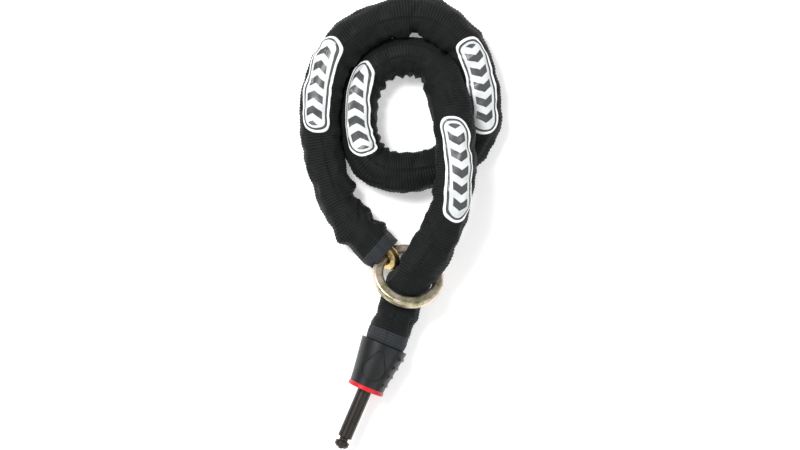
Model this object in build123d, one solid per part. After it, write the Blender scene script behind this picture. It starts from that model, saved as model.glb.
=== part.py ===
"""Plug-in security chain for a bicycle frame lock, lying loosely coiled (millimetres, +Z up).

A square-section chain runs inside a woven sleeve. A forged ring on its first link makes a noose
through which the tail is passed. The last link is riveted into a plug with a grooved locking pin.
"""
import math
import os

from build123d import *

os.makedirs("parts", exist_ok=True)

# ---- chain ---------------------------------------------------------------------------------------
BAR = 6.0                     # side of the square bar that the links are bent from
BAR_EDGE = 1.7                # rounding of the bar's long edges
LINK_INNER_WIDTH = 8.4
LINK_INNER_LENGTH = 23.9
CHAIN_LINKS = 33              # hidden links, between the end link and the link in the plug
FIRST_LINK = 23.1             # distance of the first hidden link's centre from the sleeve's mouth
LINK_SLIDE = 0.9              # in a bend a link slides outwards in its own plane, per bulge of the line
LINKS_TO_SETTLE = 3           # the first links turn from the end link's roll to LINK_ROLL
LINK_ROLL = 45.0              # links lie crossed at plus and minus this angle to the vertical

# ---- sleeve --------------------------------------------------------------------------------------
SLEEVE_DIAMETER = 24.0
SLEEVE_WALL = 0.8
COVER = 0.5                   # thickness of the hems and labels on the sleeve
HEM_LENGTH = 9.5
HEM_GAP = 1.0                 # between the hem and the mouth of the plug
LABEL_LENGTH = 69.0
LABEL_WIDTH = 19.0
LABELS = (                    # distance of the middle from the sleeve's mouth, shift to the left
    (130.0, 2.5),
    (290.0, 2.5),
    (447.0, 1.0),
    (604.0, 2.0),
)

# ---- ring and end link ---------------------------------------------------------------------------
RING_MEAN_RADIUS = 21.5
RING_BAR_RADIAL = 7.4
RING_BAR_AXIAL = 6.2
RING_BAR_EDGE = 1.9
RING_CENTRE = Vector(5.6, -35.7, 18.2)
RING_TURN = -20.0             # the lifted side points this far to the left of -Y
RING_TILT = 34.0              # the side towards the plug is lifted by the tail that passes under it
END_LINK_INNER_WIDTH = 8.8
END_LINK_ROLL = 52.0
RING_PLAY = 0.9               # between the ring's bar and the end of the link's eye
RING_SEAT_ANGLE = 154.0       # where on the ring the end link hangs

# ---- plug ----------------------------------------------------------------------------------------
PLUG_HEADING = Vector(-0.3955, -0.9184, 0)
PLUG_MOUTH = Vector(-10.85, -83.65, 14.1)
HOUSING_LENGTH = 31.4
HOUSING_SECTIONS = (          # distance from the mouth, width, height
    (0.0, 33.6, 28.0),
    (9.0, 31.0, 27.4),
    (21.0, 27.4, 26.0),
    (HOUSING_LENGTH, 25.0, 25.0),
)
HOUSING_WALL = 1.6
HOUSING_FLOOR = 5.0
CAVITY_END_SIZE = (26.2, 25.6)   # width and height of the outside where the cavity ends
COLLAR_DIAMETER = 26.0
COLLAR_LENGTH = 3.0
COLLAR_CHAMFER = 0.5
PIN_DIAMETER = 10.0
PIN_ROOT_DIAMETER = 11.0      # inside the housing and the collar
PIN_SHANK = 36.0              # plain shank between the collar and the locking groove
GROOVE_DIAMETER = 6.2
GROOVE_LENGTH = 3.2
GROOVE_CHAMFER = 0.6
PIN_HEAD = 4.5
HEAD_CHAMFER = 1.6
NUB_RADIUS = 1.4
NUB_LENGTH = 0.8
SHOULDER_DIAMETER = 17.0
SHOULDER_LENGTH = 3.0
RIVET_DIAMETER = 6.0
RIVET_PLAY = 0.3              # the link's crown stands this far off centre round the rivet
RIVET_DEPTH = 12.4            # from the mouth of the housing to the rivet
RIVET_HEAD = 0.8
RIVET_HEAD_STEP = 1.0
FORK_GAP = BAR + 0.8
FORK_PLATE = 3.0
FORK_WIDTH = 9.0
SLEEVE_IN_PLUG = 3.0          # how far the sleeve's end enters the housing
RIB_RADIUS = 1.5
RIB_SPAN = 17.0               # how far the ribs run round the flank
RIB_FLANK = 20.0
RIBS = (                      # grip ribs on one flank: distance from the mouth, reach from the axis
    (5.2, 15.5),
    (12.2, 14.3),
    (19.2, 13.2),
    (26.2, 12.2),
)
INLAY_WIDE = 15.4
INLAY_WIDE_AT = 18.6
INLAY_NARROW = 5.6
INLAY_NARROW_AT = 8.0
INLAY_DEPTH = 0.8
INLAY_PROUD = 0.2
INLAY_GROOVE = 0.4
POST_LENGTH = 20.0            # of the teardrop posts that shape the inlays and their pockets
INLAY_SIDES = (-POST_LENGTH, 0.0)   # start of each post along the plug's downward direction
CUT_SPAN = 60.0               # longer than the fork that it cuts

# Centre line of the sleeve from the mouth at the ring to the mouth at the plug. The first turn
# lies outside, the second inside it, and the tail then climbs over the first turn and dips
# through the ring.
ROUTE = (
    (-13.7, -17.5, 12.7),
    (-27.5, -5.5, 12.4),
    (-39.8, 9.0, 12.0),
    (-48.4, 28.5, 12.1),
    (-54.6, 50.5, 12.4),
    (-57.0, 74.0, 12.9),
    (-54.8, 98.0, 13.4),
    (-45.2, 120.5, 13.6),
    (-27.0, 137.3, 13.4),
    (-4.0, 145.6, 13.0),
    (19.0, 146.3, 12.5),
    (38.3, 135.0, 12.2),
    (50.3, 116.5, 12.0),
    (56.5, 94.5, 12.1),
    (57.0, 72.5, 12.0),
    (47.8, 53.0, 12.1),
    (29.0, 41.2, 12.0),
    (8.5, 36.9, 12.1),
    (-9.5, 37.0, 12.0),
    (-22.8, 45.5, 12.1),
    (-30.0, 61.5, 12.0),
    (-30.6, 81.0, 12.1),
    (-26.5, 99.0, 12.0),
    (-15.8, 113.0, 12.1),
    (0.5, 119.6, 12.2),
    (16.5, 117.6, 13.2),
    (28.6, 107.0, 17.2),
    (34.3, 88.5, 25.3),
    (38.0, 68.0, 34.0),
    (39.0, 46.5, 38.0),
    (37.3, 26.0, 38.4),
    (33.2, 6.0, 36.0),
    (25.5, -11.5, 32.0),
    (14.3, -27.0, 25.5),
    (5.0, -43.3, 15.2),
    (-1.8, -60.0, 12.2),
)


def unit(vector):
    """The vector at length one."""
    return vector * (1 / vector.length)


def corner_radii(points):
    """Radius of the arc at each inner point: 0.45 of the shorter run over tan(half the turn)."""
    radii = []
    for before, here, after in zip(points, points[1:], points[2:]):
        run_in = here - before
        run_out = after - here
        half_turn = math.radians(run_in.get_angle(run_out)) / 2
        radii.append(0.45 * min(run_in.length, run_out.length) / math.tan(half_turn))
    return radii


def centre_line(points):
    """Straight runs through the points, joined by tangent arcs."""
    return FilletPolyline(*points, radius=corner_radii(points))


def tube(line, inner_diameter, outer_diameter):
    """A round tube along a line."""
    start = Plane(origin=line @ 0, z_dir=line % 0)
    outer = sweep(start * Circle(outer_diameter / 2), path=line)
    inner = sweep(start * Circle(inner_diameter / 2), path=line)
    return outer - inner


def stretch(line, start, end):
    """Part of the centre line between two distances from its start."""
    return line.trim(start / line.length, end / line.length)


def cover(line, start, end):
    """A thin layer round part of the sleeve."""
    return tube(stretch(line, start, end), SLEEVE_DIAMETER, SLEEVE_DIAMETER + 2 * COVER)


def bar_link(inner_width, inner_length):
    """A chain link flat in XY, long along X, of square bar with rounded edges."""
    outer = SlotOverall(inner_length + 2 * BAR, inner_width + 2 * BAR)
    inner = SlotOverall(inner_length, inner_width)
    link = extrude(outer - inner, amount=BAR / 2, both=True)
    return fillet(link.edges(), BAR_EDGE)


def link_plane(centre, heading, roll):
    """Plane of a link: x along the heading, z turned by the roll from the vertical."""
    heading = unit(heading)
    side = unit(Vector(0, 0, 1).cross(heading))
    upright = heading.cross(side)
    angle = math.radians(roll)
    return Plane(origin=centre, x_dir=heading, z_dir=upright * math.cos(angle) + side * math.sin(angle))


def write(name, shape):
    """Write one named node."""
    solids = shape.solids()
    export_step(solids[0] if len(solids) == 1 else Compound(children=solids), f"parts/{name}.step")


def chain_link(line, pitch, centre_distance, roll):
    """A link on the centre line, lying along the chord between its two neighbours."""
    near = line.position_at((centre_distance - pitch / 2) / line.length)
    far = line.position_at((centre_distance + pitch / 2) / line.length)
    chord_middle = (near + far) * 0.5
    bulge = line.position_at(centre_distance / line.length) - chord_middle
    across = link_plane(chord_middle, far - near, roll).y_dir
    slide = across * (across.dot(bulge) * LINK_SLIDE)
    return link_plane(chord_middle + slide, far - near, roll) * bar_link(LINK_INNER_WIDTH, LINK_INNER_LENGTH)


def link_roll(index):
    """Roll of a link: the crossed pairs start turned by the end link's roll and settle at LINK_ROLL."""
    settled = min(index / LINKS_TO_SETTLE, 1)
    roll = END_LINK_ROLL + (LINK_ROLL - END_LINK_ROLL) * settled
    return roll if index % 2 == 0 else roll - 90


def label(line, centre_distance, shift):
    """A pill-shaped patch that follows the top of the sleeve, shifted sideways."""
    reach = LABEL_LENGTH / 2 + 2
    middle = line.position_at(centre_distance / line.length)
    heading = line.tangent_at(centre_distance / line.length)
    flat = Plane(origin=middle, x_dir=(heading.X, heading.Y, 0), z_dir=(0, 0, 1))
    pill = flat * Pos(0, shift, 0) * extrude(SlotOverall(LABEL_LENGTH, LABEL_WIDTH), amount=SLEEVE_DIAMETER)
    return cover(line, centre_distance - reach, centre_distance + reach) & pill


def ring_solid():
    """The forged ring: a flat bar with rounded edges, turned about its own axis."""
    bar = RectangleRounded(RING_BAR_RADIAL, RING_BAR_AXIAL, RING_BAR_EDGE)
    return revolve(Plane.XZ * Pos(RING_MEAN_RADIUS, 0) * bar, axis=Axis.Z)


def oval(depth, width, height):
    """Oval outline square to the plug's axis."""
    return Pos(0, 0, depth) * Ellipse(width / 2, height / 2)


def skin(grow):
    """The outside of the housing, grown outwards or shrunk."""
    return loft([
        oval(depth, width + 2 * grow, height + 2 * grow)
        for depth, width, height in HOUSING_SECTIONS
    ])


def housing_solid():
    """Moulded housing: an oval mouth that tapers to a round end, hollow, with grip ribs on one flank."""
    cavity_end = HOUSING_LENGTH - HOUSING_FLOOR
    cavity = loft(
        [oval(depth, width - 2 * HOUSING_WALL, height - 2 * HOUSING_WALL) for depth, width, height in (
            HOUSING_SECTIONS[0],
            HOUSING_SECTIONS[1],
            (cavity_end, *CAVITY_END_SIZE),
        )]
    )
    ribs = [
        Pos(0, 0, depth) * revolve(Plane.XZ * Pos(reach, 0) * Circle(RIB_RADIUS), axis=Axis.Z)
        for depth, reach in RIBS
    ]
    flank = Pos(RIB_FLANK, 0, HOUSING_LENGTH / 2) * Box(RIB_FLANK, RIB_SPAN, HOUSING_LENGTH)
    body = skin(0) + [rib & flank for rib in ribs] - cavity
    pocket_skin = skin(1) - skin(-INLAY_DEPTH)
    for offset in INLAY_SIDES:
        body -= inlay_prism(INLAY_GROOVE, offset) & pocket_skin
    return body - Pos(0, 0, HOUSING_LENGTH / 2) * Cylinder(PIN_ROOT_DIAMETER / 2, HOUSING_LENGTH * 2)


def inlay_prism(grow, offset):
    """Teardrop post: its wide round end is towards the collar and the narrow one towards the mouth."""
    wide = Pos(0, INLAY_WIDE_AT) * Circle(INLAY_WIDE / 2 + grow)
    narrow = Pos(0, INLAY_NARROW_AT) * Circle(INLAY_NARROW / 2 + grow)
    outline = make_hull(wide.edges() + narrow.edges())
    return Plane.XZ.offset(offset) * extrude(outline, amount=POST_LENGTH)


def pin_solid():
    """Locking pin with its groove and head, the shoulder behind it and the fork for the rivet."""
    collar_face = HOUSING_LENGTH + COLLAR_LENGTH
    shank_end = collar_face + PIN_SHANK
    groove_end = shank_end + GROOVE_LENGTH
    head_end = groove_end + PIN_HEAD
    radius = PIN_DIAMETER / 2
    root_radius = PIN_ROOT_DIAMETER / 2
    shoulder_end = HOUSING_LENGTH - HOUSING_FLOOR
    shoulder_start = shoulder_end - SHOULDER_LENGTH
    profile = Polyline(
        (0, shoulder_start),
        (SHOULDER_DIAMETER / 2, shoulder_start),
        (SHOULDER_DIAMETER / 2, shoulder_end),
        (root_radius, shoulder_end),
        (root_radius, collar_face),
        (radius, collar_face),
        (radius, shank_end),
        (GROOVE_DIAMETER / 2, shank_end + GROOVE_CHAMFER),
        (GROOVE_DIAMETER / 2, groove_end - GROOVE_CHAMFER),
        (radius, groove_end),
        (radius, head_end - HEAD_CHAMFER),
        (radius - HEAD_CHAMFER, head_end),
        (NUB_RADIUS, head_end),
        (NUB_RADIUS, head_end + NUB_LENGTH),
        (0, head_end + NUB_LENGTH),
        close=True,
    )
    turned = revolve(Plane.XZ * make_face(profile), axis=Axis.Z)
    fork_start = RIVET_DEPTH - FORK_WIDTH / 2
    plate_length = shoulder_start - RIVET_DEPTH
    side = SlotOverall(2 * plate_length + FORK_WIDTH, FORK_WIDTH, rotation=90)
    beyond = Rectangle(CUT_SPAN, 2 * plate_length, align=(Align.CENTER, Align.MIN))
    outline = Pos(0, shoulder_start, 0) * side - Pos(0, shoulder_start, 0) * beyond
    plates = [
        Plane.XZ.offset(offset) * extrude(outline, amount=FORK_PLATE)
        for offset in (FORK_GAP / 2, -FORK_GAP / 2 - FORK_PLATE)
    ]
    hole = Pos(0, 0, RIVET_DEPTH) * Rot(90, 0, 0) * Cylinder(RIVET_DIAMETER / 2, CUT_SPAN)
    fork = Rot(0, 0, -LINK_ROLL) * (plates[0] + plates[1] - hole)
    return turned + fork


def rivet_solid():
    """Rivet across the fork, square to the plane of the link that it holds."""
    outside = FORK_GAP + 2 * FORK_PLATE
    head_radius = RIVET_DIAMETER / 2 + RIVET_HEAD_STEP
    rivet = Cylinder(RIVET_DIAMETER / 2, outside)
    for side in (-1, 1):
        rivet += Pos(0, 0, side * (outside + RIVET_HEAD) / 2) * Cylinder(head_radius, RIVET_HEAD)
    return Rot(0, 0, -LINK_ROLL) * Pos(0, 0, RIVET_DEPTH) * Rot(90, 0, 0) * rivet


def collar_solid():
    """Collar between the housing's end face and the bare shank."""
    collar = Cylinder(COLLAR_DIAMETER / 2, COLLAR_LENGTH) - Cylinder(PIN_ROOT_DIAMETER / 2, COLLAR_LENGTH)
    rims = collar.edges().filter_by(GeomType.CIRCLE).filter_by(lambda edge: edge.radius > PIN_ROOT_DIAMETER)
    return Pos(0, 0, HOUSING_LENGTH + COLLAR_LENGTH / 2) * chamfer(rims, COLLAR_CHAMFER)


def inlay_solid(offset):
    """Soft grip inlay in its pocket, a little proud of the housing."""
    return inlay_prism(0, offset) & (skin(INLAY_PROUD) - skin(-INLAY_DEPTH))


# ---- centre lines --------------------------------------------------------------------------------
route = [Vector(*point) for point in ROUTE]
route += [PLUG_MOUTH - PLUG_HEADING * 8, PLUG_MOUTH + PLUG_HEADING * SLEEVE_IN_PLUG]
line = centre_line(route)
print("centre line", round(line.length, 1), "mm; arcs", [round(r, 1) for r in corner_radii(route)])

# ---- sleeve, hems and labels ---------------------------------------------------------------------
inner_diameter = SLEEVE_DIAMETER - 2 * SLEEVE_WALL
sleeve = tube(line, inner_diameter, SLEEVE_DIAMETER)
section_area = math.pi / 4 * (SLEEVE_DIAMETER**2 - inner_diameter**2)
print("sleeve volume over section times length", round(sleeve.volume / (section_area * line.length), 4))
write("woven_sleeve", sleeve)
plug_hem_end = line.length - SLEEVE_IN_PLUG - HEM_GAP
write("sleeve_hem_at_ring", cover(line, 0, HEM_LENGTH))
write("sleeve_hem_at_plug", cover(line, plug_hem_end - HEM_LENGTH, plug_hem_end))
for number, (distance, shift) in enumerate(LABELS, start=1):
    write(f"reflective_label_{number}", label(line, distance, shift))

# ---- chain ---------------------------------------------------------------------------------------
ring_plane = Plane(Pos(RING_CENTRE) * Rot(0, 0, RING_TURN) * Rot(-RING_TILT, 0, 0))
ring = ring_plane * ring_solid()
write("noose_ring", ring)

seat_angle = math.radians(RING_SEAT_ANGLE)
seat = ring_plane.from_local_coords(
    (RING_MEAN_RADIUS * math.cos(seat_angle), RING_MEAN_RADIUS * math.sin(seat_angle), 0)
)
rivet_centre = PLUG_MOUTH + PLUG_HEADING * RIVET_DEPTH
eye_centre_offset = (LINK_INNER_LENGTH - LINK_INNER_WIDTH) / 2
plug_link_distance = line.length - SLEEVE_IN_PLUG + RIVET_DEPTH - eye_centre_offset - RIVET_PLAY
pitch = (plug_link_distance - FIRST_LINK) / CHAIN_LINKS
print("link pitch", round(pitch, 2))
first_nest = line.position_at((FIRST_LINK - pitch / 2) / line.length)
end_heading = unit(seat - first_nest)
reach = RING_BAR_RADIAL / 2 + RING_PLAY - LINK_INNER_LENGTH / 2
end_link = link_plane(seat + end_heading * reach, -end_heading, END_LINK_ROLL) * bar_link(
    END_LINK_INNER_WIDTH, LINK_INNER_LENGTH
)
write("ring_end_link", end_link)
for index in range(1, CHAIN_LINKS + 1):
    distance = FIRST_LINK + (index - 1) * pitch
    write(f"chain_link_{index:02d}", chain_link(line, pitch, distance, link_roll(index)))
plug_link_centre = rivet_centre - PLUG_HEADING * (eye_centre_offset + RIVET_PLAY)
plug_link = link_plane(plug_link_centre, PLUG_HEADING, LINK_ROLL) * bar_link(
    LINK_INNER_WIDTH, LINK_INNER_LENGTH
)
write("plug_end_link", plug_link)

# ---- plug ----------------------------------------------------------------------------------------
plug_plane = Plane(origin=PLUG_MOUTH, x_dir=Vector(0, 0, 1).cross(PLUG_HEADING), z_dir=PLUG_HEADING)
write("plug_housing", plug_plane * housing_solid())
write("plug_collar", plug_plane * collar_solid())
write("locking_pin", plug_plane * pin_solid())
write("link_rivet", plug_plane * rivet_solid())
write("grip_inlay_top", plug_plane * inlay_solid(INLAY_SIDES[0]))
write("grip_inlay_bottom", plug_plane * inlay_solid(INLAY_SIDES[1]))

print("first nest", first_nest, "last nest", plug_link_centre - PLUG_HEADING * (pitch / 2))
print("rivet", rivet_centre, "rivet axis", plug_plane.y_dir * math.cos(math.radians(LINK_ROLL))
      + plug_plane.x_dir * math.sin(math.radians(LINK_ROLL)))
print("ring", RING_CENTRE, ring_plane.z_dir, "seat", seat)
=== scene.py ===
"""Looks of the plug-in chain: cloth meshes for sleeve, hems and labels, and all the materials."""
import math

import bpy
import numpy as np
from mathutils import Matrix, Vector, noise
from mathutils.bvhtree import BVHTree


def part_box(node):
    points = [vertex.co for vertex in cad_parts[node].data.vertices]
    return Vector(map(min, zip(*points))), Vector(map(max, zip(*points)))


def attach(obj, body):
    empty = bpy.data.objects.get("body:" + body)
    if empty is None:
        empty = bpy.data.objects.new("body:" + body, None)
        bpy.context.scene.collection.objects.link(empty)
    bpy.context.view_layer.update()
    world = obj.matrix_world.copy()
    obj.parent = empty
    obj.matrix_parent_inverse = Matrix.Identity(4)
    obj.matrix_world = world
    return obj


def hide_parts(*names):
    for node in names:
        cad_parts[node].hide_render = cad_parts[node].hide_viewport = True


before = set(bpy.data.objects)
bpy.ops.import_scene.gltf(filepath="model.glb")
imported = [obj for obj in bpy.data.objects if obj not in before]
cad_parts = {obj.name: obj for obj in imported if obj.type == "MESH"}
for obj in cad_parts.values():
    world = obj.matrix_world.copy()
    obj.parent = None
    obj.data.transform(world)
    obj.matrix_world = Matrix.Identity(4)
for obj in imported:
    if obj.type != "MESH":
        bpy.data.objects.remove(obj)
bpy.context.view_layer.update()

MM = 0.001

# ---- sleeve dimensions, in millimetres -----------------------------------------------------------
HALF_WIDTH = 13.9             # the loose cloth lies wider than the chain
HALF_HEIGHT = 11.9
WIDTH_ROUNDNESS = 0.82        # powers of the flattened section, where 1 is an ellipse
HEIGHT_ROUNDNESS = 0.86
NECK = 0.06                   # share by which the cloth draws in towards each mouth
CLOTH_THICKNESS = 0.9
RIB_PITCH = 1.9
RIB_HEIGHT = 0.24
STEPS_PER_RIB = 4
AROUND = 60                   # vertices round the sleeve
TURNED_ROWS = 12              # rows of vertices on the inside of each mouth
LINK_PITCH = 21.9             # of the chain inside, which shows as soft knuckles
KNUCKLE = 1.3
GATHER_PITCH = 10.5           # the cloth gathers on the inner side of a bend
FINE_GATHER_PITCH = 5.3
CORE_RADIUS = 11.5            # no fold reaches further in, where the chain is
MOUTH_CORE = 1.1              # added to that radius at the ring's end
HEM_LENGTH = 9.5
HEM_ROWS = 26                 # vertices along each band
HEM_PROUD = 0.5
HEM_DEPTH = 0.3               # how far the bands reach into the cloth
HEM_INSET = 3.3               # from the band's end to the sleeve's end, at the plug
FLOOR_GAP = 0.15
CLOTH_GAP = 0.25              # between two strands of cloth that touch
TOUCH_REACH = 36.0            # centre lines nearer than this are strands that touch
SAME_STRAND = 70.0            # points nearer than this along the sleeve are one strand
OUTER_END = 262.0             # the coil's outer turn, which ends here, leans over the inner one
OUTER_SHARE = 1.2             # how far the seam between the two turns moves off the middle
OVERHANG = 0.45               # slope of that seam
MOUTH_REACH = 4.5             # how far the cloth goes past the route's start, over the end link
RING_GAP = 1.3                # clear of the ring, which slips round
FITTING_GAP = 0.7             # clear of the end link and the housing
HEM_GAP = 0.5                 # the bands' gap to all three

# ---- label dimensions, in millimetres ------------------------------------------------------------
LABEL_LENGTH = 69.0
LABEL_WIDTH = 19.0
LABEL_PROUD = 0.55
LABEL_DEPTH = 0.2             # how far the rim reaches into the cloth
LABEL_RADIUS = 13.5           # of the cloth that a label bends round
LABEL_RINGS = 24
LABEL_AROUND = 150
BORDER = 1.8                  # white, then a dark line up to the silver field
FIELD_EDGE = 3.3
MARK_EDGE = 5.0               # the chevrons keep this far from the rim
CHEVRON_PITCH = 10.5
CHEVRON_SHARE = 0.52
CHEVRON_SLOPE = 0.75
# Height of the face over the cloth, by distance in from the rim: a raised border round a groove.
LABEL_RELIEF = ((0, -0.35), (0.35, 0.1), (1.7, 0.12), (2.0, -0.02), (3.0, -0.02), (3.3, 0.06))

# ---- floor and camera, in metres -----------------------------------------------------------------
FLOOR_HALF = 3.0
CAMERA_HEIGHT = 2.2
WIDTH_SEEN = 0.560            # at the sleeve's mid height
FOCUS_HEIGHT = 0.012
SENSOR_WIDTH = 36.0           # mm

# The sleeve's centre line, as in the CAD, from the mouth at the ring to the mouth at the plug (m).
ROUTE = (
    (-0.0137, -0.0175, 0.0127),
    (-0.0275, -0.0055, 0.0124),
    (-0.0398, 0.0090, 0.0120),
    (-0.0484, 0.0285, 0.0121),
    (-0.0546, 0.0505, 0.0124),
    (-0.0570, 0.0740, 0.0129),
    (-0.0548, 0.0980, 0.0134),
    (-0.0452, 0.1205, 0.0136),
    (-0.0270, 0.1373, 0.0134),
    (-0.0040, 0.1456, 0.0130),
    (0.0190, 0.1463, 0.0125),
    (0.0383, 0.1350, 0.0122),
    (0.0503, 0.1165, 0.0120),
    (0.0565, 0.0945, 0.0121),
    (0.0570, 0.0725, 0.0120),
    (0.0478, 0.0530, 0.0121),
    (0.0290, 0.0412, 0.0120),
    (0.0085, 0.0369, 0.0121),
    (-0.0095, 0.0370, 0.0120),
    (-0.0228, 0.0455, 0.0121),
    (-0.0300, 0.0615, 0.0120),
    (-0.0306, 0.0810, 0.0121),
    (-0.0265, 0.0990, 0.0120),
    (-0.0158, 0.1130, 0.0121),
    (0.0005, 0.1196, 0.0122),
    (0.0165, 0.1176, 0.0132),
    (0.0286, 0.1070, 0.0172),
    (0.0343, 0.0885, 0.0253),
    (0.0380, 0.0680, 0.0340),
    (0.0390, 0.0465, 0.0380),
    (0.0373, 0.0260, 0.0384),
    (0.0332, 0.0060, 0.0360),
    (0.0255, -0.0115, 0.0320),
    (0.0143, -0.0270, 0.0255),
    (0.0050, -0.0433, 0.0152),
    (-0.0018, -0.0600, 0.0122),
    (-0.007686, -0.076303, 0.0141),
    (-0.0120365, -0.086405, 0.0141),
)

# Folds and bulges: distance along the sleeve, angle from its top (left positive), half length
# along, half spread round in degrees, depth inwards (negative for a bulge), and slant.
FOLDS = (
    (150, -62, 70.0, 26, -1.6, 0.0),
    (238, -62, 26.0, 26, -1.4, 0.0),
    (44, -75, 3.2, 55, 3.6, -0.04),
    (51, -70, 5.0, 50, -1.6, 0.0),
    (31, -40, 2.6, 38, 1.9, -0.33),
    (26, -80, 4.5, 45, -2.6, 0.0),
    (18.5, -80, 2.0, 40, 1.6, 0.0),
    (11, -80, 3.2, 45, -2.0, 0.0),
    (24, 85, 3.6, 50, -2.8, 0.0),
    (33, 80, 3.5, 45, 1.3, 0.0),
    (59, 85, 9.0, 50, 1.2, 0.0),
    (90, -60, 2.4, 40, 1.2, 0.1),
    (152, -35, 3.2, 42, 2.6, 0.12),
    (161, -20, 5.0, 50, -1.4, 0.0),
    (168, 60, 4.0, 50, -1.3, 0.0),
    (196, 10, 3.0, 40, 1.2, -0.1),
    (216.5, -72, 4.6, 52, 4.6, 0.0),
    (217, 0, 2.4, 40, 1.6, 0.04),
    (226, 10, 6.0, 60, -1.2, 0.0),
    (256, 70, 4.0, 40, -1.5, 0.0),
    (259, -25, 3.0, 55, 2.4, 0.10),
    (312, 85, 7.0, 40, -1.6, 0.0),
    (325, 0, 3.0, 60, 1.5, -0.1),
    (402, 5, 3.2, 42, 3.2, -0.06),
    (393, -40, 5.0, 50, -1.4, 0.0),
    (371, -40, 2.8, 60, 1.4, 0.1),
    (468, -60, 3.2, 50, 2.2, 0.1),
    (479, 0, 2.6, 45, 2.4, 0.22),
    (492, -20, 2.8, 42, 2.2, 0.0),
    (500, -60, 4.0, 40, -1.6, 0.0),
    (524, -50, 3.0, 50, 2.4, -0.05),
    (541, -75, 4.0, 40, -1.8, 0.0),
    (590, 60, 3.5, 40, 1.6, 0.0),
    (626, -75, 3.4, 45, 1.8, 0.0),
    (642, 80, 5.0, 45, 1.0, 0.0),
    (652, 20, 3.0, 50, 1.6, 0.14),
    (662, 85, 6.0, 60, -1.8, 0.0),
    (675, 85, 6.0, 60, -2.6, 0.0),
    (672, 0, 6.0, 34, -1.2, 0.0),
    (681, 10, 2.4, 40, 1.4, -0.1),
    (692, -85, 11.0, 80, -3.6, 0.0),
    (716, 80, 4.0, 50, -1.6, 0.0),
    (722, -80, 3.0, 50, 1.0, 0.0),
)

# Labels: distance of the middle along the sleeve; then the shift round it to the left, in
# millimetres, at the middle, how much it grows for each millimetre along, and how much it bows.
LABELS = (
    (129, 3.8, 0.075, 0.0020),
    (287.5, 1.8, 0.0, 0.0015),
    (446, 1.0, 0.137, 0.0027),
    (604, 3.0, 0.11, 0.0),
)


# ---- mesh helpers --------------------------------------------------------------------------------
def add_piece(name, verts, faces, material):
    """A smooth-shaded mesh object in the scene."""
    mesh = bpy.data.meshes.new(name)
    mesh.from_pydata([tuple(v) for v in verts], [], faces)
    mesh.update()
    mesh.shade_smooth()
    piece = bpy.data.objects.new(name, mesh)
    bpy.context.scene.collection.objects.link(piece)
    mesh.materials.append(material)
    return piece


def store_vector(piece, name, values):
    """Keeps a vector for each vertex, for the material to read."""
    layer = piece.data.attributes.new(name=name, type="FLOAT_VECTOR", domain="POINT")
    layer.data.foreach_set("vector", np.asarray(values, dtype=np.float32).ravel())


def grid_faces(rows, columns, offset=0, flip=False):
    """Quads of a grid of vertices, with its last column joined to its first."""
    faces = []
    for row in range(rows - 1):
        for column in range(columns):
            after = (column + 1) % columns
            quad = [row * columns + column, row * columns + after,
                    (row + 1) * columns + after, (row + 1) * columns + column]
            quad = [corner + offset for corner in quad]
            faces.append(quad[::-1] if flip else quad)
    return faces


def nurbs_points(route):
    """Dense points on the smooth curve that has the route's points as its control points."""
    curve = bpy.data.curves.new("route", "CURVE")
    curve.dimensions = "3D"
    curve.resolution_u = 24
    spline = curve.splines.new("NURBS")
    spline.points.add(len(route) - 1)
    for point, place in zip(spline.points, route):
        point.co = (*place, 1)
    spline.order_u = 3
    spline.use_endpoint_u = True
    carrier = bpy.data.objects.new("route", curve)
    bpy.context.scene.collection.objects.link(carrier)
    mesh = bpy.data.meshes.new_from_object(carrier)
    points = np.array([v.co[:] for v in mesh.vertices])
    bpy.data.objects.remove(carrier)
    bpy.data.meshes.remove(mesh)
    bpy.data.curves.remove(curve)
    return points


def unit_rows(rows):
    """Vectors of length 1, along the last axis."""
    return rows / np.linalg.norm(rows, axis=-1, keepdims=True)


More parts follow.
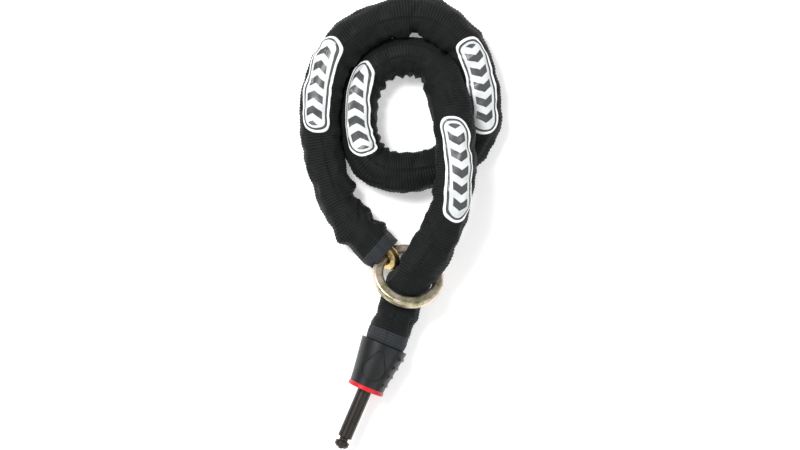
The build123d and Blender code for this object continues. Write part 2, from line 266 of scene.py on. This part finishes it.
# ---- the sleeve's shape --------------------------------------------------------------------------
class Sleeve:
    """Centre line, frames and loose cloth section of the sleeve."""

    def __init__(self, points):
        steps = np.linalg.norm(np.diff(points, axis=0), axis=1)
        distance = np.concatenate([[0], np.cumsum(steps)])
        self.length = distance[-1]
        run_up = 10 * MM
        before = points[0] + unit_rows(points[0] - points[6]) * run_up
        self.raw_distance = np.concatenate([[-run_up], distance])
        self.raw_points = np.concatenate([[before], points])
        dense = np.linspace(0, self.length, 1500)
        centres = self.centre(dense)
        tangents = unit_rows(np.gradient(centres, axis=0))
        turn = np.gradient(np.unwrap(np.arctan2(tangents[:, 1], tangents[:, 0])), dense / MM)
        kernel = np.hanning(41) / np.hanning(41).sum()
        self.bend_distance = dense
        self.bend = np.convolve(turn, kernel, mode="same")

    def centre(self, distance):
        """Points on the centre line, which runs on straight a little before its start."""
        return np.stack([np.interp(distance, self.raw_distance, self.raw_points[:, axis])
                         for axis in range(3)], -1)

    def frames(self, distance):
        """Centre, left and up at each distance."""
        reach = 2.0 * MM
        ahead = self.centre(np.minimum(distance + reach, self.length))
        behind = self.centre(distance - reach)
        tangent = unit_rows(ahead - behind)
        left = unit_rows(np.cross([0, 0, 1], tangent))
        up = np.cross(tangent, left)
        return self.centre(distance), left, up

    def section(self, distance, angle, ribs=True):
        """The flattened section at grids of distance and angle.

        Gives the offsets left and up of the centre line, the swell outwards from there, in
        millimetres, and the sine and cosine of the angle.
        """
        mm = distance / MM
        bend = np.interp(distance, self.bend_distance, self.bend)
        sine = np.sin(angle)
        cosine = np.cos(angle)
        neck = 1 - NECK * np.exp(-((mm + 2) / 14) ** 2)
        left = HALF_WIDTH * neck * np.sign(sine) * np.abs(sine) ** WIDTH_ROUNDNESS
        squat = 1 - NECK * np.exp(-((self.length / MM - mm) / 12) ** 2)
        up = HALF_HEIGHT * squat * np.sign(cosine) * np.abs(cosine) ** HEIGHT_ROUNDNESS
        swell = np.zeros_like(left)
        # The links of the chain inside show as knuckles.
        link_phase = 2 * math.pi * mm / LINK_PITCH
        knuckle = np.abs(np.sin(link_phase / 2 + 0.4)) ** 0.7
        swell += KNUCKLE * (knuckle - 0.7) * (0.7 + 0.3 * np.cos(angle * 2 + link_phase))
        # The inner side of a bend is gathered.
        inner_side = np.clip(sine * np.sign(bend), 0, 1)
        strength = np.clip(np.abs(bend) * 30, 0, 1.3)
        drift = 1.7 * np.sin(mm / 17.0) + 0.8 * np.cos(angle)
        gather = np.cos(2 * math.pi * mm / GATHER_PITCH + drift)
        fine_drift = 2.1 * np.sin(mm / 11.0) + 1.2 * angle
        fine_gather = np.cos(2 * math.pi * mm / FINE_GATHER_PITCH + fine_drift)
        swell += strength * inner_side ** 1.2 * (0.9 * gather + 0.15 * fine_gather)
        for at, toward, length, spread, depth, slant in FOLDS:
            away = (angle - math.radians(toward) + math.pi) % (2 * math.pi) - math.pi
            along = mm - at - slant * np.degrees(away)
            swell -= depth * np.exp(-(along / length) ** 2 - (np.degrees(away) / spread) ** 2)
        if ribs:
            swell += RIB_HEIGHT * np.cos(2 * math.pi * mm / RIB_PITCH)
        return left, up, swell, sine, cosine

    def lumps(self, distance, angle):
        """Slow random unevenness of the cloth, in millimetres."""
        flat_distance = distance.ravel() / MM
        flat_angle = angle.ravel()
        values = np.empty(flat_distance.shape)
        for index, (along, turn) in enumerate(zip(flat_distance, flat_angle)):
            place = Vector((along / 14.0, 1.3 * math.sin(turn), 1.3 * math.cos(turn)))
            ridge = 0.5 - abs(noise.noise(place * 1.3 + Vector((7, 3, 1))))
            values[index] = (noise.noise(place) * 1.4 + ridge * 1.5 - 0.45
                             + noise.noise(place * 2.3) * 0.5)
        return values.reshape(distance.shape)

    def surface(self, distance, angle, proud=0.0, ribs=True):
        """Points of the cloth, as an array of rows along by columns round."""
        grid_distance, grid_angle = np.meshgrid(distance, angle, indexing="ij")
        return self.place(grid_distance, grid_angle, proud, ribs)

    def place(self, grid_distance, grid_angle, proud=0.0, ribs=True):
        """Points of the cloth at grids of distance and angle, raised by proud millimetres."""
        left_mm, up_mm, swell, sine, cosine = self.section(grid_distance, grid_angle, ribs)
        calm = np.clip((self.length - grid_distance) / MM / 10 - 0.3, 0.1, 1)
        swell = (swell + self.lumps(grid_distance, grid_angle)) * calm + proud
        left_mm = left_mm + swell * sine
        up_mm = up_mm + swell * cosine
        core = CORE_RADIUS + MOUTH_CORE * np.exp(-(grid_distance / MM / 14) ** 2) + proud
        spread = np.maximum(1, core / np.hypot(left_mm, up_mm))
        left_mm = left_mm * spread
        up_mm = up_mm * spread
        centre, left, up = self.frames(grid_distance.ravel())
        offsets = left * left_mm.ravel()[:, None] + up * up_mm.ravel()[:, None]
        points = centre + offsets * MM
        points = self.keep_apart(points, grid_distance.ravel(), proud)
        return points.reshape(*grid_distance.shape, 3)

    def keep_apart(self, points, distances, proud):
        """Holds points short of the plane half-way to a strand beside, and off the floor."""
        probes = np.linspace(0, self.length, 500)
        probe_centres = self.centre(probes)
        rows, inverse = np.unique(distances, return_inverse=True)
        row_centres = self.centre(rows)
        gaps = np.linalg.norm(row_centres[:, None] - probe_centres[None], axis=2)
        gaps[np.abs(rows[:, None] - probes[None]) < SAME_STRAND * MM] = 1
        nearest = gaps.argmin(axis=1)
        near_gap = gaps.min(axis=1)
        toward = unit_rows(probe_centres[nearest] - row_centres)
        outer_row = rows < OUTER_END * MM
        outer_other = probes[nearest] < OUTER_END * MM
        lean = outer_row.astype(float) - outer_other
        to_middle = near_gap / 2 + (lean * OUTER_SHARE - CLOTH_GAP + proud * 0.5) * MM
        middle = row_centres + toward * to_middle[:, None]
        level = np.abs(toward[:, 2]) < 0.35
        face = unit_rows(toward - np.outer(lean * OVERHANG * level, [0, 0, 1]))
        depth = ((points - middle[inverse]) * face[inverse]).sum(axis=1)
        push = np.where(near_gap[inverse] < TOUCH_REACH * MM, np.clip(depth, 0, None), 0)
        points = points - face[inverse] * push[:, None]
        floor = (FLOOR_GAP - min(proud, 0.1)) * MM
        pressed = floor + (points[:, 2] - floor) * 0.02
        points[:, 2] = np.where(points[:, 2] < floor, pressed, points[:, 2])
        points[:, 2] = np.maximum(points[:, 2], 0.02 * MM)
        return points


def push_off(points, names, gap):
    """Moves points out of, and a gap away from, the given CAD nodes."""
    margin = 1.5 * MM
    deepest = 6 * MM
    depsgraph = bpy.context.evaluated_depsgraph_get()
    flat = points.reshape(-1, 3)
    for name in names:
        tree = BVHTree.FromObject(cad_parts[name], depsgraph)
        low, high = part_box(name)
        inside = np.all((flat > np.array(low) - margin) & (flat < np.array(high) + margin), axis=1)
        for index in np.nonzero(inside)[0]:
            place, normal, _, away = tree.find_nearest(Vector(flat[index]), deepest)
            if place is None:
                continue
            out = away if (Vector(flat[index]) - place).dot(normal) > 0 else -away
            if out < gap:
                lift = (Vector(flat[index]) - place).normalized() if out > 0 else normal
                flat[index] = place + lift * gap
    return flat.reshape(points.shape)


# ---- materials -----------------------------------------------------------------------------------
class Nodes:
    """Short way to build a node material."""

    def __init__(self, name, **sockets):
        self.material = bpy.data.materials.new(name)
        self.material.use_nodes = True
        self.tree = self.material.node_tree
        self.shader = self.tree.nodes["Principled BSDF"]
        for socket, value in sockets.items():
            self.shader.inputs[socket.replace("_", " ")].default_value = value

    def add(self, kind, values=None, **settings):
        """A node of a kind, with sockets linked or set, and settings."""
        node = self.tree.nodes.new(kind)
        for key, value in settings.items():
            setattr(node, key, value)
        for socket, value in (values or {}).items():
            if isinstance(value, bpy.types.NodeSocket):
                self.tree.links.new(value, node.inputs[socket])
            else:
                node.inputs[socket].default_value = value
        return node

    def math(self, operation, first, second=0.0):
        return self.add("ShaderNodeMath", {0: first, 1: second}, operation=operation).outputs[0]

    def noise(self, scale, detail=4.0, roughness=0.55):
        place = self.add("ShaderNodeTexCoord").outputs["Object"]
        values = {"Vector": place, "Scale": scale, "Detail": detail, "Roughness": roughness}
        return self.add("ShaderNodeTexNoise", values).outputs["Fac"]

    def ramp(self, factor, stops, constant=False):
        node = self.add("ShaderNodeValToRGB", {"Fac": factor})
        if constant:
            node.color_ramp.interpolation = "CONSTANT"
        elements = node.color_ramp.elements
        while len(elements) < len(stops):
            elements.new(0.5)
        for element, (place, colour) in zip(elements, stops):
            element.position = place
            element.color = (*colour, 1)
        return node.outputs["Color"]

    def link(self, output, socket):
        self.tree.links.new(output, self.shader.inputs[socket])

    def roughness(self, value, low, high):
        """Roughness from low to high, as the value goes from 0 to 1."""
        node = self.add("ShaderNodeMapRange", {"Value": value, "To Min": low, "To Max": high})
        self.link(node.outputs["Result"], "Roughness")

    def bump(self, height, strength, distance):
        values = {"Height": height, "Strength": strength, "Distance": distance}
        node = self.add("ShaderNodeBump", values)
        self.link(node.outputs["Normal"], "Normal")


def metal(name, dark, light, roughness, grain=900.0, strength=0.25, metallic=1.0):
    """Metal with cloudy colour, uneven roughness and a fine surface."""
    make = Nodes(name, Metallic=metallic)
    cloud = make.noise(140.0)
    make.link(make.ramp(cloud, ((0.3, dark), (0.7, light))), "Base Color")
    make.roughness(make.noise(320.0), roughness - 0.06, roughness + 0.10)
    make.bump(make.noise(grain, 6.0), strength, 0.0004)
    return make.material


def passivated(name):
    """Dull yellow zinc: olive and straw patches, a few pinkish and pale ones, and small scuffs."""
    make = Nodes(name, Metallic=0.92)
    patches = ((0.30, (0.12, 0.110, 0.075)), (0.40, (0.36, 0.33, 0.20)), (0.49, (0.62, 0.55, 0.41)),
               (0.57, (0.76, 0.60, 0.52)), (0.66, (0.90, 0.85, 0.74)))
    make.link(make.ramp(make.noise(75.0, 6.0, roughness=0.68), patches), "Base Color")
    scuffs = make.noise(600.0, 6.0, roughness=0.7)
    make.roughness(scuffs, 0.18, 0.52)
    make.bump(scuffs, 0.35, 0.0005)
    return make.material


def plastic(name, dark, light, roughness, grain=1500.0, strength=0.2):
    """Moulded plastic with a fine spark-eroded texture."""
    make = Nodes(name, Specular_IOR_Level=0.36)
    make.link(make.ramp(make.noise(90.0), ((0.35, dark), (0.65, light))), "Base Color")
    make.roughness(make.noise(200.0), roughness - 0.05, roughness + 0.08)
    make.bump(make.noise(grain, 5.0), strength, 0.0003)
    return make.material


def cloth(name, dark, light, yarn_pitch, roughness):
    """Woven cloth: yarns along the sleeve under ribs that run round it, a little dusty, with
    painted shade in the troughs of ribs and yarns and painted highlight on their crests.
    """
    make = Nodes(name, Sheen_Weight=0.02, Sheen_Roughness=0.5, Specular_IOR_Level=0.16)
    place = make.add("ShaderNodeAttribute", attribute_name="cloth").outputs["Vector"]
    parts = make.add("ShaderNodeSeparateXYZ", {0: place})
    along, across, _ = parts.outputs
    turn = 2 * math.pi / MM
    rib = make.math("COSINE", make.math("MULTIPLY", along, turn / RIB_PITCH))
    yarn = make.math("COSINE", make.math("MULTIPLY", across, turn / yarn_pitch))
    fuzz = make.noise(1400.0, 4.0)
    patch = make.noise(55.0, 3.0)
    height = make.math("ADD", make.math("MULTIPLY", rib, 0.5), make.math("MULTIPLY", yarn, 0.3))
    # Painted shade and highlight: the colour follows the rib and yarn height, darker in the troughs
    # and lighter on the crests, added to the fine fuzz and the random patches.
    rib_shade_and_tone = make.math("ADD", make.math("MULTIPLY", height, 0.22), make.math("MULTIPLY", fuzz, 0.5))
    rib_shade_and_tone = make.math("ADD", rib_shade_and_tone, make.math("MULTIPLY", patch, 0.35))
    make.link(make.ramp(rib_shade_and_tone, ((0.2, dark), (0.75, light))), "Base Color")
    make.roughness(patch, roughness - 0.06, roughness + 0.08)
    make.bump(make.math("ADD", height, make.math("MULTIPLY", fuzz, 0.6)), 0.6, 0.00025)
    return make.material


def label_material():
    """Reflective patch: white border, dark line and a silver field with dark chevrons."""
    make = Nodes("reflective_label", Coat_Weight=0.25, Coat_Roughness=0.25)
    place = make.add("ShaderNodeAttribute", attribute_name="label").outputs["Vector"]
    parts = make.add("ShaderNodeSeparateXYZ", {0: place})
    along, across, edge = parts.outputs
    silver = (0.60, 0.62, 0.63)
    white = (0.86, 0.87, 0.87)
    ink = (0.010, 0.012, 0.013)
    arms = make.math("MULTIPLY", make.math("ABSOLUTE", across), CHEVRON_SLOPE)
    bent = make.math("ADD", along, arms)
    cell = make.math("FRACT", make.math("DIVIDE", bent, CHEVRON_PITCH * MM))
    bar = make.math("LESS_THAN", cell, CHEVRON_SHARE)
    within = make.math("GREATER_THAN", edge, MARK_EDGE * MM)
    mark = make.math("MULTIPLY", bar, within)
    ramp_reach = 10.0
    bands = ((0.0, white), (BORDER / ramp_reach, ink), (FIELD_EDGE / ramp_reach, silver))
    rings = make.ramp(make.math("DIVIDE", edge, ramp_reach * MM), bands, constant=True)
    glitter = make.noise(2600.0, 2.0)
    mixed = make.add("ShaderNodeMix", {0: mark}, data_type="RGBA")
    make.tree.links.new(rings, mixed.inputs[6])
    mixed.inputs[7].default_value = (*ink, 1)
    dust = make.add("ShaderNodeMix", {0: make.math("MULTIPLY", glitter, 0.16)}, data_type="RGBA")
    make.tree.links.new(mixed.outputs[2], dust.inputs[6])
    dust.inputs[7].default_value = (0.35, 0.37, 0.38, 1)
    make.link(dust.outputs[2], "Base Color")
    make.roughness(glitter, 0.35, 0.55)
    make.bump(glitter, 0.15, 0.0002)
    return make.material


# ---- pieces --------------------------------------------------------------------------------------
def cloth_places(distance, angle):
    """Where each vertex lies on the flat cloth: along, across and 0, in rows by columns (m)."""
    along, turn = np.meshgrid(distance, angle, indexing="ij")
    return np.stack([along, turn * HALF_WIDTH * MM, np.zeros_like(along)], -1)


def build_sleeve(shape, material):
    """The whole ribbed sleeve: outside, inside and the two turned edges."""
    start = -MOUTH_REACH * MM
    count = int((shape.length - start) / MM / RIB_PITCH * STEPS_PER_RIB) + 1
    distance = np.linspace(start, shape.length, count)
    angle = np.linspace(0, 2 * math.pi, AROUND, endpoint=False)
    outside = push_off(shape.surface(distance, angle), ("noose_ring",), RING_GAP * MM)
    outside = push_off(outside, ("ring_end_link", "plug_housing"), FITTING_GAP * MM)
    centres = shape.centre(distance)
    places = cloth_places(distance, angle)
    faces = grid_faces(count, AROUND, flip=True)
    all_verts = [outside.reshape(-1, 3)]
    all_places = [places.reshape(-1, 3)]
    offset = count * AROUND
    for rows in (range(TURNED_ROWS), range(count - 1, count - 1 - TURNED_ROWS, -1)):
        rows = list(rows)
        ring = outside[rows]
        inside = ring + unit_rows(centres[rows][:, None] - ring) * CLOTH_THICKNESS * MM
        all_verts.append(inside.reshape(-1, 3))
        all_places.append(places[rows].reshape(-1, 3))
        flip = rows[0] != 0
        faces += grid_faces(TURNED_ROWS, AROUND, offset, flip=flip)
        edge = rows[0] * AROUND
        for column in range(AROUND):
            after = (column + 1) % AROUND
            quad = [edge + column, edge + after, offset + after, offset + column]
            faces.append(quad if flip else quad[::-1])
        offset += TURNED_ROWS * AROUND
    piece = add_piece("ribbed_sleeve", np.concatenate(all_verts), faces, material)
    store_vector(piece, "cloth", np.concatenate(all_places))
    return piece


def build_hem(shape, name, start, end, material):
    """Smooth band round the sleeve, with rolled edges."""
    rows = HEM_ROWS
    distance = np.linspace(start, end, rows)
    angle = np.linspace(0, 2 * math.pi, AROUND, endpoint=False)
    roll = np.sin(np.linspace(0, math.pi, rows)) ** 0.35
    outside = shape.surface(distance, angle, HEM_PROUD, ribs=False)
    inside = shape.surface(distance, angle, -HEM_DEPTH, ribs=False)
    bodied = inside + (outside - inside) * roll[:, None, None]
    bodied = push_off(bodied, ("noose_ring", "ring_end_link", "plug_housing"), HEM_GAP * MM)
    verts = np.concatenate([bodied.reshape(-1, 3), inside.reshape(-1, 3)])
    faces = grid_faces(rows, AROUND, flip=True)
    faces += grid_faces(rows, AROUND, offset=rows * AROUND)
    piece = add_piece(name, verts, faces, material)
    places = cloth_places(distance, angle).reshape(-1, 3)
    store_vector(piece, "cloth", np.concatenate([places, places]))
    return piece


def pill_outline(radius, straight, count):
    """Points round a pill, from the start of its lower side; straight is half of that side."""
    side, cap = 2 * straight, math.pi * radius
    outline = []
    for index in range(count):
        run = index / count * 2 * (side + cap)
        if run < side:
            outline.append((run - straight, -radius))
        elif run < side + cap:
            turn = (run - side) / radius - math.pi / 2
            outline.append((straight + radius * math.cos(turn), radius * math.sin(turn)))
        elif run < 2 * side + cap:
            outline.append((straight - (run - side - cap), radius))
        else:
            turn = (run - 2 * side - cap) / radius + math.pi / 2
            outline.append((-straight + radius * math.cos(turn), radius * math.sin(turn)))
    return np.array(outline)


def build_label(shape, name, middle, shift, lean, bow, material):
    """A pill-shaped patch pressed onto the cloth, with a raised border."""
    radius = LABEL_WIDTH / 2
    straight = LABEL_LENGTH / 2 - radius
    rings, around = LABEL_RINGS, LABEL_AROUND
    rim = pill_outline(radius, straight, around)
    spine = np.stack([np.clip(rim[:, 0], -straight, straight), np.zeros(around)], -1)
    levels = np.linspace(1, 0, rings)
    flat = spine[None] + (rim - spine)[None] * levels[:, None, None]
    edge = (1 - levels) * radius
    relief = np.interp(edge, *zip(*LABEL_RELIEF))
    along = flat[..., 0]
    grid_angle = (flat[..., 1] + shift + lean * along + bow * along**2) / LABEL_RADIUS
    bend = np.interp(middle * MM, shape.bend_distance, shape.bend)
    grid_distance = (middle + along / (1 - bend * HALF_WIDTH * np.sin(grid_angle))) * MM
    base = shape.place(grid_distance, grid_angle, LABEL_PROUD, ribs=False)
    under = shape.place(grid_distance, grid_angle, -LABEL_DEPTH, ribs=False)
    out = unit_rows(base - under)
    top = base + out * (relief * MM)[:, None, None]
    verts = np.concatenate([top.reshape(-1, 3), under[0]])
    faces = grid_faces(rings, around)
    skirt = rings * around
    for column in range(around):
        after = (column + 1) % around
        faces.append([skirt + column, skirt + after, after, column])
    piece = add_piece(name, verts, faces, material)
    edges = np.repeat(edge[:, None], around, 1)
    place = np.stack([flat[..., 0], flat[..., 1], edges], -1) * MM
    store_vector(piece, "label", np.concatenate([place.reshape(-1, 3), place[0]]))
    return piece


route_points = nurbs_points(ROUTE)
shape = Sleeve(route_points)

sleeve_cloth = cloth("sleeve_cloth", (0.0009, 0.0014, 0.0014), (0.0084, 0.0110, 0.0109), 0.9, 0.6)
hem_cloth = cloth("hem_cloth", (0.014, 0.016, 0.0185), (0.032, 0.036, 0.041), 0.6, 0.6)
label_finish = label_material()

sleeve = build_sleeve(shape, sleeve_cloth)
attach(sleeve, "sleeved_chain")
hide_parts("woven_sleeve")

mouth_at_ring = -(MOUTH_REACH + HEM_DEPTH) * MM
hem_at_ring = build_hem(shape, "mouth_hem_at_ring", mouth_at_ring, (HEM_LENGTH - MOUTH_REACH) * MM,
                        hem_cloth)
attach(hem_at_ring, "sleeved_chain")
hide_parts("sleeve_hem_at_ring")

hem_end = shape.length - HEM_INSET * MM
hem_at_plug = build_hem(shape, "mouth_hem_at_plug", hem_end - HEM_LENGTH * MM, hem_end, hem_cloth)
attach(hem_at_plug, "sleeved_chain")
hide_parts("sleeve_hem_at_plug")

for number, layout in enumerate(LABELS, start=1):
    patch = build_label(shape, f"label_patch_{number}", *layout, label_finish)
    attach(patch, "sleeved_chain")
    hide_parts(f"reflective_label_{number}")

FINISHES = {
    "noose_ring": passivated("ring_zinc"),
    "ring_end_link": metal("end_link_chromate", (0.42, 0.30, 0.10), (0.80, 0.66, 0.34), 0.30),
    "plug_end_link": metal("plug_link_zinc", (0.35, 0.35, 0.34), (0.60, 0.60, 0.58), 0.38),
    "locking_pin": metal("burnished_steel", (0.024, 0.021, 0.019), (0.036, 0.031, 0.027), 0.30,
                         grain=700.0, strength=0.02, metallic=0.7),
    "link_rivet": metal("rivet_steel", (0.40, 0.40, 0.40), (0.60, 0.60, 0.60), 0.35),
    "plug_housing": plastic("housing_plastic", (0.0035, 0.0042, 0.0048), (0.0075, 0.0088, 0.0098),
                            0.34),
    "grip_inlay_top": plastic("inlay_rubber", (0.0030, 0.0036, 0.0040), (0.0062, 0.0072, 0.0080),
                              0.42, grain=1100.0, strength=0.3),
    "plug_collar": plastic("collar_plastic", (0.42, 0.006, 0.012), (0.56, 0.011, 0.020), 0.30),
}
FINISHES["grip_inlay_bottom"] = FINISHES["grip_inlay_top"]
chain_finish = metal("chain_zinc", (0.33, 0.33, 0.32), (0.58, 0.58, 0.56), 0.36)
for name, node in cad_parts.items():
    finish = FINISHES.get(name, chain_finish if name.startswith("chain_link") else None)
    if finish:
        for material_slot in node.material_slots:
            material_slot.material = finish


# ---- floor, light and camera ---------------------------------------------------------------------
def add_floor():
    """A white floor with a faint glow, so that it stays bright beside the black cloth."""
    half = FLOOR_HALF
    corners = [(-half, -half, 0), (half, -half, 0), (half, half, 0), (-half, half, 0)]
    make = Nodes("floor_white", Roughness=0.9, Emission_Color=(1, 1, 1, 1), Emission_Strength=0.3)
    shades = ((0.3, (0.90, 0.90, 0.90)), (0.7, (0.94, 0.94, 0.94)))
    make.link(make.ramp(make.noise(2.0), shades), "Base Color")
    floor = add_piece("floor", corners, [(0, 1, 2, 3)], make.material)


def add_light(name, place, size, power):
    """A rectangular lamp that points at the origin."""
    lamp = bpy.data.lights.new(name, "AREA")
    lamp.shape = "RECTANGLE"
    lamp.size, lamp.size_y = size
    lamp.energy = power
    holder = bpy.data.objects.new(name, lamp)
    holder.location = place
    holder.rotation_euler = (-Vector(place)).to_track_quat("-Z", "Y").to_euler()
    bpy.context.scene.collection.objects.link(holder)


def add_camera():
    """Straight down on the coil, far away, with the long side of the picture along X."""
    data = bpy.data.cameras.new("camera")
    data.sensor_width = SENSOR_WIDTH
    data.lens = SENSOR_WIDTH * (CAMERA_HEIGHT - FOCUS_HEIGHT) / WIDTH_SEEN
    camera = bpy.data.objects.new("camera", data)
    camera.location = (0, 0, CAMERA_HEIGHT)
    bpy.context.scene.collection.objects.link(camera)
    bpy.context.scene.camera = camera


add_floor()
add_light("key", (-0.55, 0.55, 1.1), (0.55, 0.55), 21.0)
add_light("fill", (0.9, -0.2, 1.2), (1.5, 1.5), 6.0)
add_light("strip", (0.25, -1.0, 0.7), (1.2, 0.25), 4.0)
world = bpy.data.worlds.new("world")
world.use_nodes = True
sky = world.node_tree.nodes["Background"]
sky.inputs["Color"].default_value = (1, 1, 1, 1)
sky.inputs["Strength"].default_value = 0.45
bpy.context.scene.world = world
bpy.context.scene.view_settings.view_transform = "Standard"
add_camera()
